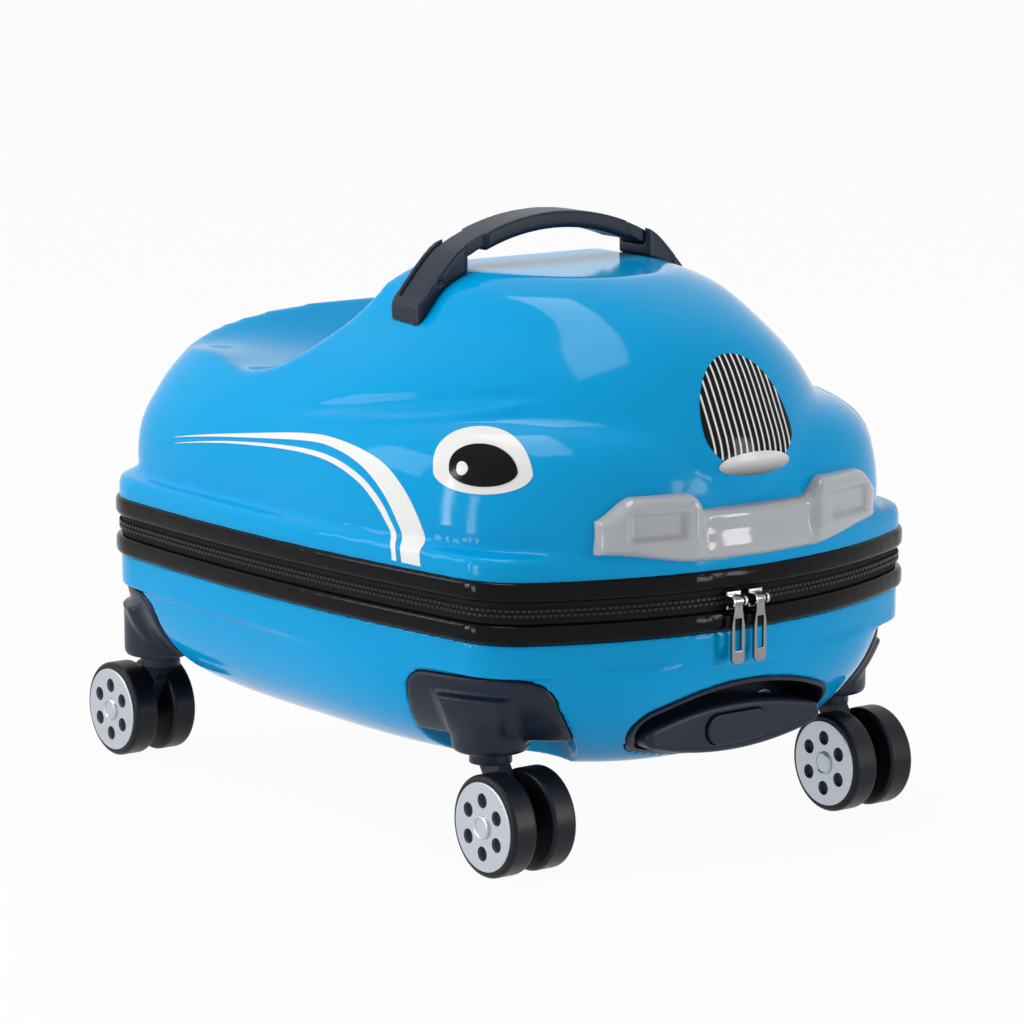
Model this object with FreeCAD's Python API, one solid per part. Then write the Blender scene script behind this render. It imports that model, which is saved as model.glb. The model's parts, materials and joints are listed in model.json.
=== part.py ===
import FreeCAD, Part
import math
import os

# Frame: origin under the middle of the whole object on the floor, +X to the front of the car, +Z up. Millimetres.

# Overall size and running gear
overall_length = 434.0
case_half_width = 164.5
wheel_radius = 27.0
caster_trail = 21.0
slider_overhang = 7.0
wheel_overhang = 16.0
nose_x = overall_length / 2 - slider_overhang
rear_x = wheel_overhang - overall_length / 2
front_post_x = nose_x - 77.0
front_post_y = case_half_width - 49.0
rear_post_x = rear_x - wheel_overhang + wheel_radius + caster_trail
rear_post_y = case_half_width - 37.0

# Case outline in plan, at the outer face of the trim frames
widest_x = rear_x + 125.0
nose_radius = case_half_width * 1.587
side_radius = 1380.0
rear_radius = 900.0
front_corner_radius = 45.0
rear_corner_radius = 50.0
nose_centre_x = nose_x - nose_radius

# Heights of the case, from the floor up
base_bottom_z = 50.0
base_height = 56.0
strip_height = 18.0
trim_height = 11.0
trim_width = 9.0
zip_height = 11.0
rim_height = 12.0
car_height = 128.0
widest_share = 0.42
strip_bottom_z = base_bottom_z + base_height
lower_trim_z = strip_bottom_z + strip_height
lower_trim_top_z = lower_trim_z + trim_height
zip_mid_z = lower_trim_top_z + zip_height / 2
upper_trim_z = lower_trim_top_z + zip_height
rim_z = upper_trim_z + trim_height
ledge_z = rim_z + rim_height
dome_top_z = ledge_z + car_height

# Walls and clearances
shell_wall = 2.5
base_strip_inset = 3.0
rim_inset = 2.0
running_clearance = 0.05
free_clearance = 0.4
slide_clearance = 0.35
seating_gap = 0.05

# Saddle, as heights and places on the middle line
saddle_crest_x = rear_x + 43.0
saddle_floor_x = rear_x + 109.0
saddle_front_x = rear_x + 159.0
dome_heel_x = rear_x + 193.0
saddle_crest_z = dome_top_z - 47.0
saddle_floor_z = dome_top_z - 67.0
saddle_rim_y = case_half_width - 52.5
saddle_crest_fall = 10.0
saddle_bowl = 6.0

# Bumper
bumper_low_z = ledge_z - 8.0
bumper_height = 29.0
bumper_half_span = case_half_width - 75.5
bumper_reach = 2.0
bumper_depth = 34.0
guard_inner_y = 38.0
guard_outer_y = case_half_width - 71.5
guard_low_z = ledge_z - 3.0
guard_height = 33.0
guard_reach = 6.0
guard_panel_depth = 1.5
guard_panel_margin = 9.0

# Zip
tape_inset = 3.5
tape_thickness = 2.0
chain_proud = 1.3
chain_height = 2.2
zip_parting = 0.4
zip_rear_gap = 112.0
slider_width = 9.0
slider_height = 9.6
slider_thickness = 3.0
slider_ear_radius = 2.8
slider_ear_thickness = 1.5
right_slider_y = -17.0
left_slider_y = -3.0
pull_pin_radius = 1.0
pull_eye_radius = 2.2
pull_length = 33.0
pull_width = 8.0
pull_thickness = 2.0
pull_frame = 1.9
pull_foot = 7.0

# Rear hinges
hinge_y = 70.0
hinge_inset = 2.0
knuckle_radius = 4.0
knuckle_length = 16.0
hinge_pin_radius = 1.5
leaf_thickness = 1.4
leaf_reach = 10.0

# Casters
pocket_radius = 44.0
pocket_top_z = strip_bottom_z - 2.0
pocket_round = 11.0
housing_skirt_z = 68.0
housing_boss_radius = 20.5
housing_boss_z = 61.0
housing_proud = 1.0
flare_radius = 31.0
flare_proud = 5.0
stem_radius = 11.25
stem_gap = 0.5
kingpin_radius = 4.0
kingpin_top_z = pocket_top_z - 12.0
web_thickness = 8.0
axle_radius = 3.0
axle_eye_radius = 7.5
wheel_gap = 1.0
wheel_width = 15.2
tread_round = 4.0
cap_radius = 23.5
cap_recess = 1.2
cap_thickness = 2.0
cap_hole_radius = 3.1
cap_hole_circle = 14.0
cap_hole_count = 6
cap_boss_radius = 6.5
cap_boss_height = 0.8

# Carry handle
carry_x = nose_x - 183.0
carry_top_z = dome_top_z + 28.0
carry_end_y = case_half_width - 74.5
carry_end_z = dome_top_z - 10.0
carry_thickness = 7.0
carry_width = 20.0
carry_lift = 2.5
carry_pin_y = carry_end_y - 10.0
carry_pin_radius = 1.2
carry_cheek = 3.2
carry_foot_length = 34.0
carry_foot_end = 4.0
carry_grip_swell = 2.4
carry_grip_half_length = 48.0

# Trolley
tube_y = 44.0
tube_z = base_bottom_z + 18.5
outer_tube_radius = 8.0
tube_wall = 1.1
outer_tube_rear_x = rear_x + 49.0
tube_step = 4.0
dish_back_x = nose_x - 50.0
dish_wall = 2.2
dish_half_width = 73.0
dish_half_height = 20.0
dish_tip_radius = 9.0
dish_z = tube_z + 5.0
grip_half_width = 72.0
grip_half_height = 13.0
grip_tip_radius = 6.0
grip_gap = 1.2
grip_front_x = nose_x - 17.0
grip_depth = 18.0
button_half_width = 20.5
button_half_height = 8.0
button_proud = 2.0
button_travel = 3.0
button_pocket = 9.0
button_skirt = 3.5
spring_radius = 3.0
spring_wire = 0.6
cover_half_width = 66.0
cover_top_z = tube_z + 11.5
cover_thickness = 2.0
cover_front_x = dish_back_x - 22.0
cover_rear_x = outer_tube_rear_x + 6.0
cradle_width = 12.0


def upright(x, y, radius, bottom, top):
    """Vertical round bar."""
    return Part.makeCylinder(radius, top - bottom, FreeCAD.Vector(x, y, bottom))


def lengthwise(y, z, radius, rear, front):
    """Round bar along X."""
    return Part.makeCylinder(radius, front - rear, FreeCAD.Vector(rear, y, z), FreeCAD.Vector(1, 0, 0))


def crosswise(x, z, radius, start_y, end_y):
    """Round bar along Y."""
    return Part.makeCylinder(radius, end_y - start_y, FreeCAD.Vector(x, start_y, z), FreeCAD.Vector(0, 1, 0))


def block(x0, x1, y0, y1, z0, z1):
    """Box between two corners."""
    return Part.makeBox(x1 - x0, y1 - y0, z1 - z0, FreeCAD.Vector(x0, y0, z0))


def mirrored(shape):
    """The same piece on the other side of the car."""
    return shape.mirror(FreeCAD.Vector(0, 0, 0), FreeCAD.Vector(0, 1, 0))


def is_upright(edge):
    """True for a straight vertical edge."""
    ends = [vertex.Point for vertex in edge.Vertexes]
    if len(ends) != 2:
        return False
    rise = ends[1].sub(ends[0])
    return abs(rise.x) + abs(rise.y) < 1e-6


def edges_at(shape, height):
    """The edges that lie in one level."""
    return [e for e in shape.Edges if abs(e.BoundBox.ZMin - height) + abs(e.BoundBox.ZMax - height) < 1e-6]


def plan_prism(inset, bottom, top):
    """The case outline, drawn in by inset: the overlap of four large discs with its corners rounded."""
    side_y = case_half_width - side_radius
    prism = upright(nose_centre_x, 0, nose_radius - inset, bottom, top)
    prism = prism.common(upright(rear_x + rear_radius, 0, rear_radius - inset, bottom, top))
    prism = prism.common(upright(widest_x, side_y, side_radius - inset, bottom, top))
    prism = prism.common(upright(widest_x, -side_y, side_radius - inset, bottom, top))
    corners = [e for e in prism.Edges if is_upright(e) and abs(e.Vertexes[0].Y) > 1.0]
    front = [e for e in corners if e.Vertexes[0].X > 0]
    prism = prism.makeFillet(front_corner_radius - inset, front)
    corners = [e for e in prism.Edges if is_upright(e) and e.Vertexes[0].X < widest_x]
    tail = min(e.Vertexes[0].X for e in corners if abs(e.Vertexes[0].Y) > case_half_width / 2)
    rear = [e for e in corners if e.Vertexes[0].X < tail + 1 and abs(e.Vertexes[0].Y) > case_half_width / 2]
    return prism.makeFillet(rear_corner_radius - inset, rear)


def plan_ring(outer_inset, inner_inset, bottom, top):
    """A band that follows the case outline."""
    return plan_prism(outer_inset, bottom, top).cut(plan_prism(inner_inset, bottom - 1, top + 1))


def oval(z, rear, front, half_width, rear_power, front_power, spacing):
    """One level of a moulded shell: a closed curve, squarer where its power is higher."""
    middle = rear + widest_share * (front - rear)
    count = 28
    points = []
    for step in range(count):
        angle = 2 * math.pi * step / count
        across = math.sin(angle)
        along = math.cos(angle)
        power = 2 / (front_power if along > 0 else rear_power)
        reach = front - middle if along > 0 else middle - rear
        x = middle + math.copysign(abs(along) ** power * reach, along)
        y = math.copysign(abs(across) ** power * half_width, across)
        points.append(FreeCAD.Vector(x, y, z))
    if not spacing:
        spacing.append(0.0)
        for first, second in zip(points, points[1:] + points[:1]):
            spacing.append(spacing[-1] + first.distanceToPoint(second))
    curve = Part.BSplineCurve()
    curve.interpolate(Points=points, PeriodicFlag=True, Parameters=spacing)
    return Part.Wire(curve.toShape())


def hull(levels, inset):
    """A shell's outside through its levels, or its inside where inset is the wall."""
    spacing = []
    wires = []
    for z, rear, front, half_width, rear_power, front_power in levels:
        wires.append(oval(z, rear + inset, front - inset, half_width - inset, rear_power, front_power, spacing))
    return Part.makeLoft(wires, True, False, False, 3)


def cabin_levels(top):
    """Cabin from inside the rim to the roof: height, tail, nose, half width, and how square each end is."""
    return [
        (rim_z - 6, rear_x + 14, nose_x - 12, case_half_width - 24, 6.5, 2.1),
        (ledge_z + 38, rear_x + 15, nose_x - 3, case_half_width - 21, 6.0, 2.1),
        (ledge_z + 53, rear_x + 16, nose_x - 5, case_half_width - 23, 5.4, 2.1),
        (ledge_z + 62, rear_x + 18, nose_x - 9, case_half_width - 29, 5.0, 2.1),
        (ledge_z + 78, rear_x + 26, nose_x - 17, case_half_width - 42, 4.5, 2.15),
        (top - 30, rear_x + 45, nose_x - 31, case_half_width - 65, 4.0, 2.2),
        (top - 14, rear_x + 75, nose_x - 56, case_half_width - 80, 3.4, 2.25),
        (top - 4, rear_x + 105, nose_x - 82, case_half_width - 94, 3.0, 2.3),
        (top, rear_x + 120, nose_x - 97, case_half_width - 104, 2.8, 2.3),
    ]


def fender_levels(drop):
    """Fenders and tail from inside the rim to their rounded tops, lowered by drop, squarer at the front."""
    return [
        (rim_z - 6, rear_x + 9, nose_x - 8, case_half_width - 11, 6.5, 3.3),
        (ledge_z + 16, rear_x + 10, nose_x - 6, case_half_width - 13, 6.5, 3.3),
        (ledge_z + 38, rear_x + 13, nose_x - 7, case_half_width - 16.5, 6.0, 3.2),
        (ledge_z + 50 - drop / 2, rear_x + 18, nose_x - 11, case_half_width - 22, 5.4, 3.1),
        (ledge_z + 58 - drop, rear_x + 26, nose_x - 19, case_half_width - 31, 5.0, 3.0),
        (ledge_z + 63 - drop, rear_x + 38, nose_x - 31, case_half_width - 45, 4.6, 2.9),
        (ledge_z + 65 - drop, rear_x + 52, nose_x - 45, case_half_width - 60, 4.4, 2.8),
    ]


def base_levels(bottom):
    """Tub from its flat underside up to the strip under the trim."""
    return [
        (bottom, rear_x + 44, nose_x - 45, case_half_width - 52, 4.0, 2.8),
        (bottom + 6, rear_x + 31, nose_x - 34, case_half_width - 39, 4.6, 2.9),
        (bottom + 20, rear_x + 17, nose_x - 21, case_half_width - 21.5, 5.2, 3.0),
        (bottom + 40, rear_x + 8, nose_x - 9, case_half_width - 10.5, 6.0, 3.1),
        (strip_bottom_z + shell_wall, rear_x + 5, nose_x - 5, case_half_width - 7, 6.5, 3.2),
    ]


def saddle_profile(y, grow):
    """Side view of the rider's seat at one distance from the middle line, as the edge of what is cut away."""
    outward = (y / saddle_rim_y) ** 2
    crest = saddle_crest_z - saddle_crest_fall * outward - grow
    floor = saddle_floor_z + saddle_bowl * outward - grow
    heel = dome_heel_x + grow
    crest_x = saddle_crest_x - grow
    points = [
        FreeCAD.Vector(crest_x - 40, y, crest + 24),
        FreeCAD.Vector(crest_x, y, crest),
        FreeCAD.Vector(crest_x + 28, y, floor + 6),
        FreeCAD.Vector(saddle_floor_x, y, floor),
        FreeCAD.Vector(saddle_front_x + grow, y, floor + 7),
        FreeCAD.Vector(heel - 12, y, (floor + dome_top_z) / 2),
        FreeCAD.Vector(heel, y, dome_top_z - grow),
        FreeCAD.Vector(heel + 8, y, dome_top_z + 40),
    ]
    curve = Part.BSplineCurve()
    curve.interpolate(points)
    roof = FreeCAD.Vector(points[0].x, y, points[-1].z)
    lid_line = Part.makeLine(points[-1], roof)
    back_line = Part.makeLine(roof, points[0])
    return Part.Wire([curve.toShape(), lid_line, back_line])


def saddle_tool(grow):
    """What the seat removes from the car body."""
    reach = case_half_width + 10
    stations = [-reach, -saddle_rim_y / 2, 0, saddle_rim_y / 2, reach]
    return Part.makeLoft([saddle_profile(y, grow) for y in stations], True, False)


def lid_body(inset, bottom):
    """The lid filled in: rim and ledge, cabin with the seat taken out of it, and fenders."""
    rim = plan_prism(rim_inset + inset, bottom, ledge_z - inset)
    cabin = hull(cabin_levels(dome_top_z - inset), inset).cut(saddle_tool(inset))
    fenders = hull(fender_levels(inset), inset)
    return rim, cabin.fuse(fenders)


def make_lid():
    """Thermoformed lid: a thin shell whose ledge, fenders, cabin and saddle are one skin."""
    rim, car = lid_body(0, rim_z)
    rim = rim.makeFillet(rim_height / 2.4, edges_at(rim, ledge_z))
    below = block(rear_x - 9, nose_x + 9, -case_half_width, case_half_width, 0, rim_z)
    outer = rim.fuse(car.cut(below))
    rim, car = lid_body(shell_wall, rim_z - 20)
    return outer, outer.cut(rim.fuse(car))


def bumper_bar(reach, low, high, y0, y1):
    """A length of moulding bent round the nose."""
    outer = upright(nose_centre_x, 0, nose_radius + reach, low, high)
    inner = upright(nose_centre_x, 0, nose_radius - bumper_depth, low - 1, high + 1)
    return outer.cut(inner).common(block(0, nose_x + 50, y0, y1, low - 1, high + 1))


def make_bumper(lid_solid):
    """Bumper with two guards, each with a sunk panel, seated on the nose of the lid."""
    high = bumper_low_z + bumper_height
    bar = bumper_bar(bumper_reach, bumper_low_z, high, -bumper_half_span, bumper_half_span)
    guard_top = guard_low_z + guard_height
    guard = bumper_bar(guard_reach, guard_low_z, guard_top, guard_inner_y, guard_outer_y)
    guard = guard.makeFillet(guard_reach / 2, [e for e in guard.Edges if e.BoundBox.Center.x > nose_x - 25])
    panel = bumper_bar(
        guard_reach + 1,
        guard_low_z + guard_panel_margin,
        guard_top - guard_panel_margin,
        guard_inner_y + guard_panel_margin,
        guard_outer_y - guard_panel_margin,
    )
    keep = upright(nose_centre_x, 0, nose_radius + guard_reach - guard_panel_depth, 0, dome_top_z)
    guard = guard.cut(panel.cut(keep))
    bumper = bar.fuse([guard, mirrored(guard)])
    return bumper.cut(lid_solid)


def make_trim(bottom):
    """One of the two frames that the zip is sewn between."""
    top = bottom + trim_height
    frame = plan_prism(0, bottom, top)
    frame = frame.makeFillet(trim_height / 4, edges_at(frame, bottom) + edges_at(frame, top))
    return frame.cut(plan_prism(trim_width, bottom - 1, top + 1))


def make_tape(low, high, chain_low):
    """Half of the zip: a woven tape with the chain along its meeting edge, open across the rear hinges."""
    tape = plan_ring(tape_inset, tape_inset + tape_thickness, low, high)
    chain = plan_ring(tape_inset - chain_proud, tape_inset, chain_low, chain_low + chain_height)
    gap = block(rear_x - 9, rear_x + 60, -zip_rear_gap, zip_rear_gap, low - 1, high + 1)
    return tape.fuse(chain).cut(gap).removeSplitter()


def at_nose(shape, y):
    """Carry a piece made at the middle of the nose round the nose arc to its place."""
    shape = shape.copy()
    turn = math.degrees(math.asin(y / nose_radius))
    shape.rotate(FreeCAD.Vector(nose_centre_x, 0, 0), FreeCAD.Vector(0, 0, 1), turn)
    return shape


def make_slider():
    """Zip slider: a plate over the chain, with two ears and the bar that its pull hangs from."""
    back = nose_x - tape_inset + chain_proud + free_clearance
    plate = block(
        back,
        back + slider_thickness,
        -slider_width / 2,
        slider_width / 2,
        zip_mid_z - slider_height / 2,
        zip_mid_z + slider_height / 2,
    )
    plate = plate.makeFillet(slider_thickness / 3, [e for e in plate.Edges if e.BoundBox.XMin > back + 0.1])
    pin_x = overall_length / 2 - slider_ear_radius
    ears = []
    for outer in (-slider_width / 2 + slider_ear_thickness, slider_width / 2):
        start = outer - slider_ear_thickness
        ear = crosswise(pin_x, zip_mid_z, slider_ear_radius, start, outer)
        root = block(back + 1, pin_x, start, outer, zip_mid_z - slider_ear_radius, zip_mid_z + slider_ear_radius)
        ears.append(ear.fuse(root))
    bar = crosswise(pin_x, zip_mid_z, pull_pin_radius, -slider_width / 2, slider_width / 2)
    return plate.fuse(ears + [bar]).removeSplitter()


def make_pull():
    """Zip pull: an eye on the slider's bar and a tapered tab that hangs from it."""
    pin_x = overall_length / 2 - slider_ear_radius
    half_eye = slider_width / 2 - slider_ear_thickness - free_clearance
    eye = crosswise(pin_x, zip_mid_z, pull_eye_radius, -half_eye, half_eye)
    low = zip_mid_z - pull_length
    neck = zip_mid_z - pull_eye_radius - slider_ear_radius
    outline = [
        FreeCAD.Vector(pin_x - pull_thickness / 2, -half_eye, zip_mid_z),
        FreeCAD.Vector(pin_x - pull_thickness / 2, -half_eye, neck),
        FreeCAD.Vector(pin_x - pull_thickness / 2, -pull_width / 2, neck - pull_width),
        FreeCAD.Vector(pin_x - pull_thickness / 2, -pull_width / 2, low),
        FreeCAD.Vector(pin_x - pull_thickness / 2, pull_width / 2, low),
        FreeCAD.Vector(pin_x - pull_thickness / 2, pull_width / 2, neck - pull_width),
        FreeCAD.Vector(pin_x - pull_thickness / 2, half_eye, neck),
        FreeCAD.Vector(pin_x - pull_thickness / 2, half_eye, zip_mid_z),
    ]
    face = Part.Face(Part.makePolygon(outline + outline[:1]))
    tab = face.extrude(FreeCAD.Vector(pull_thickness, 0, 0))
    corners = [e for e in tab.Edges if e.BoundBox.ZMax < low + 0.1 and e.BoundBox.YLength < 0.1]
    tab = tab.makeFillet(pull_width / 2.5, corners)
    side = pull_width / 2 - pull_frame
    window = block(pin_x - pull_thickness, pin_x + pull_thickness, -side, side, low + pull_foot, neck - pull_width / 2)
    pull = tab.cut(window).fuse(eye)
    hole = crosswise(pin_x, zip_mid_z, pull_pin_radius + running_clearance, -slider_width, slider_width)
    return pull.cut(hole).removeSplitter()


def hinge_axis_x():
    return rear_x + hinge_inset


def make_hinge_leaf(side_y, segments, leaf_low):
    """One leaf of a butt hinge: knuckles on the pin and a plate that lies on the trim."""
    x = hinge_axis_x()
    solids = []
    for start, end in segments:
        knuckle = crosswise(x, zip_mid_z, knuckle_radius, side_y + start, side_y + end)
        plate = block(x, x + leaf_reach, side_y + start, side_y + end, leaf_low, leaf_low + leaf_thickness)
        low = min(leaf_low, zip_mid_z)
        high = max(leaf_low + leaf_thickness, zip_mid_z)
        neck = block(x, x + knuckle_radius, side_y + start, side_y + end, low, high)
        solids.append(knuckle.fuse([plate, neck]))
    bore = crosswise(x, zip_mid_z, hinge_pin_radius + running_clearance, side_y - 99, side_y + 99)
    return [solid.cut(bore).removeSplitter() for solid in solids]


def make_hinges():
    """Two butt hinges: lower leaves with two knuckles, upper leaves with one between them, and the pins."""
    half = knuckle_length / 2
    outer = [(-half - knuckle_length, -half - free_clearance), (half + free_clearance, half + knuckle_length)]
    lower = []
    upper = []
    pins = []
    for side_y in (-hinge_y, hinge_y):
        lower += make_hinge_leaf(side_y, outer, lower_trim_top_z)
        upper += make_hinge_leaf(side_y, [(-half, half)], upper_trim_z - leaf_thickness)
        reach = half + knuckle_length
        pins.append(crosswise(hinge_axis_x(), zip_mid_z, hinge_pin_radius, side_y - reach, side_y + reach))
    return lower, upper, pins


def posts():
    """Name, swivel axis and trail direction of each caster."""
    return [
        ("front_right", front_post_x, -front_post_y, 1),
        ("front_left", front_post_x, front_post_y, 1),
        ("rear_right", rear_post_x, -rear_post_y, -1),
        ("rear_left", rear_post_x, rear_post_y, -1),
    ]


def lens(half_width, half_height, tip_radius, centre_z, rear, front):
    """Eye-shaped prism along X with rounded tips: the overlap of two discs."""
    radius = (half_width**2 + half_height**2) / (2 * half_height)
    drop = radius - half_height
    lower = lengthwise(0, centre_z - drop, radius, rear, front)
    prism = lower.common(lengthwise(0, centre_z + drop, radius, rear, front))
    tips = [e for e in prism.Edges if e.BoundBox.YLength + e.BoundBox.ZLength < 1e-3]
    tips = [e for e in tips if abs(e.Vertexes[0].Y) > half_width / 2]
    return prism.makeFillet(tip_radius, tips)


def dish_room(grow):
    """The hollow that the trolley grip parks in, and a niche over it for fingers, grown by a wall."""
    back = dish_back_x + dish_wall - grow
    front = nose_x + 50
    niche = lens(
        dish_half_width + 2 * grow, dish_half_height + grow, dish_tip_radius + grow, dish_z, back, front
    )
    margin = grip_gap + grow
    parking = lens(
        grip_half_width + 3 * margin, grip_half_height + margin, grip_tip_radius + margin, tube_z, back, front
    )
    return niche.fuse(parking)


def pocket(x, y, grow):
    """Corner pocket for a caster, open below, grown by a wall."""
    top = pocket_top_z + grow
    room = upright(x, y, pocket_radius + grow, 0, top)
    return room.makeFillet(pocket_round + grow, edges_at(room, top))


def make_base():
    """Moulded tub: strip under the trim, drafted sides, corner pockets for the casters and a front pocket."""
    strip = plan_prism(base_strip_inset, strip_bottom_z, lower_trim_z)
    tub = hull(base_levels(base_bottom_z), 0)
    outer = strip.fuse(tub)
    ledge = strip_bottom_z + shell_wall / 2
    inner_strip = plan_prism(base_strip_inset + shell_wall, ledge, lower_trim_z + 1)
    inner = inner_strip.fuse(hull(base_levels(base_bottom_z + shell_wall), shell_wall))
    outer_cuts = []
    inner_cuts = []
    for name, x, y, direction in posts():
        outer_cuts.append(pocket(x, y, 0))
        inner_cuts.append(pocket(x, y, shell_wall))
    outer_cuts.append(dish_room(dish_wall))
    inner_cuts.append(dish_room(dish_wall + shell_wall))
    inner = inner.cut(inner_cuts)
    shell = outer.cut(outer_cuts).cut(inner)
    cradles = []
    for x in (outer_tube_rear_x, 0.0, dish_back_x - shell_wall - cradle_width):
        rear_wall = shell_wall if x == outer_tube_rear_x else 0
        rib = block(
            x - rear_wall,
            x + cradle_width,
            -tube_y - outer_tube_radius,
            tube_y + outer_tube_radius,
            base_bottom_z + shell_wall / 2,
            tube_z,
        )
        cradles.append(rib)
    bores = []
    for y in (-tube_y, tube_y):
        bores.append(lengthwise(y, tube_z, outer_tube_radius, outer_tube_rear_x, dish_back_x + 1))
    return shell.fuse(cradles).cut(bores)


def make_housing(x, y):
    """Corner moulding that fills the tub's pocket and flares down to the boss that carries the swivel."""
    skin = hull(base_levels(base_bottom_z - housing_proud), -housing_proud)
    above = block(x - pocket_radius, x + pocket_radius, y - pocket_radius, y + pocket_radius, housing_skirt_z, ledge_z)
    wing = skin.common(pocket(x, y, 0)).common(above)
    rise = pocket_top_z - pocket_round - housing_skirt_z
    flare = Part.makeCone(housing_boss_radius, flare_radius, rise, FreeCAD.Vector(x, y, housing_skirt_z))
    bulge = hull(base_levels(base_bottom_z - flare_proud), -flare_proud)
    boss = upright(x, y, housing_boss_radius, housing_boss_z, pocket_top_z - pocket_round)
    boss = boss.makeFillet(housing_boss_radius / 8, edges_at(boss, housing_boss_z))
    bore = upright(x, y, kingpin_radius + running_clearance, 0, kingpin_top_z + free_clearance)
    return wing.fuse([flare.common(bulge), boss]).cut(bore)


def make_fork(x, y, direction):
    """Swivel fork: a round stem over a web that trails to the axle between the two wheels."""
    top = housing_boss_z - stem_gap
    stem_low = 2 * wheel_radius + free_clearance * 2
    stem = upright(x, y, stem_radius, stem_low, top)
    axle_x = x + direction * caster_trail
    half = web_thickness / 2
    eye = crosswise(axle_x, wheel_radius, axle_eye_radius, y - half, y + half)
    back = x - direction * stem_radius * 0.6
    front = x + direction * stem_radius
    outline = [
        FreeCAD.Vector(back, y - half, stem_low + 1),
        FreeCAD.Vector(front, y - half, stem_low + 1),
        FreeCAD.Vector(axle_x + direction * axle_eye_radius * 0.8, y - half, wheel_radius + axle_eye_radius * 0.6),
        FreeCAD.Vector(axle_x - direction * axle_eye_radius * 0.8, y - half, wheel_radius - axle_eye_radius * 0.6),
    ]
    web = Part.Face(Part.makePolygon(outline + outline[:1])).extrude(FreeCAD.Vector(0, web_thickness, 0))
    axle_bore = crosswise(axle_x, wheel_radius, axle_radius, y - half - 1, y + half + 1)
    pin_bore = upright(x, y, kingpin_radius, stem_low - 9, top + 1)
    fork = stem.fuse([web, eye]).cut(axle_bore)
    return fork.cut(pin_bore).removeSplitter()


def wheel_faces():
    """Distances from the middle of the fork to a wheel's inner and outer face."""
    inner = web_thickness / 2 + wheel_gap
    return inner, inner + wheel_width


def make_wheel():
    """One wheel of a pair, on the +Y side of an axle at the origin: round-shouldered tread and a sunk outer face."""
    inner, outer = wheel_faces()
    wheel = crosswise(0, 0, wheel_radius, inner, outer)
    rims = [e for e in wheel.Edges if e.BoundBox.YLength < 1e-6]
    wheel = wheel.makeFillet(tread_round / 1.6, rims)
    wheel = wheel.cut(crosswise(0, 0, cap_radius, outer - cap_recess, outer + 1))
    return wheel.cut(crosswise(0, 0, axle_radius + running_clearance, inner - 1, outer + 1))


def make_cap():
    """Bright wheel cover with a ring of round holes and a raised middle."""
    inner, outer = wheel_faces()
    back = outer - cap_recess
    cap = crosswise(0, 0, cap_radius, back, back + cap_thickness)
    rim = [e for e in cap.Edges if abs(e.BoundBox.YMin - back - cap_thickness) < 1e-6 and e.BoundBox.YLength < 1e-6]
    cap = cap.makeFillet(cap_thickness / 3, rim)
    boss = crosswise(0, 0, cap_boss_radius, back, back + cap_thickness + cap_boss_height)
    cap = cap.fuse(boss)
    for step in range(cap_hole_count):
        angle = 2 * math.pi * (step + 0.5) / cap_hole_count
        x = cap_hole_circle * math.cos(angle)
        z = cap_hole_circle * math.sin(angle)
        cap = cap.cut(crosswise(x, z, cap_hole_radius, back - 1, back + 9))
    return cap.removeSplitter()


def placed(shape, x, y, side):
    """Put a wheel piece on its axle, turned over for the -Y side."""
    shape = shape.copy() if side > 0 else mirrored(shape)
    shape.translate(FreeCAD.Vector(x, y, wheel_radius))
    return shape


def make_axle(x, y, direction):
    """Plain pin pressed through the fork, with a wheel on each end."""
    inner, outer = wheel_faces()
    reach = outer - cap_recess - free_clearance
    return crosswise(x + direction * caster_trail, wheel_radius, axle_radius, y - reach, y + reach)


def make_kingpin(x, y):
    """Plain pin pressed into the stem, that turns in the housing."""
    return upright(x, y, kingpin_radius, 2 * wheel_radius + free_clearance * 2 + 1, kingpin_top_z)


def arch():
    """Radius and centre height of the carry handle's middle line, through its two ends and its crown."""
    crown_z = carry_top_z - carry_thickness / 2
    rise = crown_z - carry_end_z
    radius = (carry_end_y**2 + rise**2) / (2 * rise)
    return radius, crown_z - radius


def make_carry_handle():
    """Bowed strap with a fuller grip, and an upright slot through each end that rides on a pin."""
    radius, centre_z = arch()
    rear = carry_x - carry_width / 2
    front = carry_x + carry_width / 2
    band = lengthwise(0, centre_z, radius + carry_thickness / 2, rear, front)
    band = band.cut(lengthwise(0, centre_z, radius - carry_thickness / 2, rear - 1, front + 1))
    band = band.common(block(rear - 1, front + 1, -carry_end_y, carry_end_y, carry_end_z - 30, carry_top_z + 9))
    swell = carry_grip_swell
    grip = lengthwise(0, centre_z, radius + carry_thickness / 2, rear - swell, front + swell)
    grip = grip.cut(lengthwise(0, centre_z, radius - carry_thickness / 2 - swell, rear - 9, front + 9))
    half = carry_grip_half_length
    grip = grip.common(block(rear - 9, front + 9, -half, half, carry_end_z - 30, carry_top_z + 9))
    long_edges = [e for e in grip.Edges if e.BoundBox.XLength < 1e-6 and e.BoundBox.YLength > half]
    grip = grip.makeFillet(carry_thickness / 2.5, long_edges)
    handle = band.fuse(grip)
    for side in (-1, 1):
        handle = handle.cut(pin_slot(side * carry_pin_y))
    return handle.removeSplitter()


def carry_pin_z():
    """Height of the pins that hold the carry handle down, at the top of its slots."""
    radius, centre_z = arch()
    return centre_z + math.sqrt(radius**2 - carry_pin_y**2) + carry_lift / 2


def pin_slot(y):
    """Upright slot through the strap, as long as the handle's lift."""
    radius = carry_pin_radius + running_clearance
    reach = carry_width
    z = carry_pin_z()
    top = lengthwise(y, z, radius, carry_x - reach, carry_x + reach)
    low = lengthwise(y, z - carry_lift, radius, carry_x - reach, carry_x + reach)
    gap = block(carry_x - reach, carry_x + reach, y - radius, y + radius, z - carry_lift, z)
    return top.fuse([low, gap])


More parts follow.
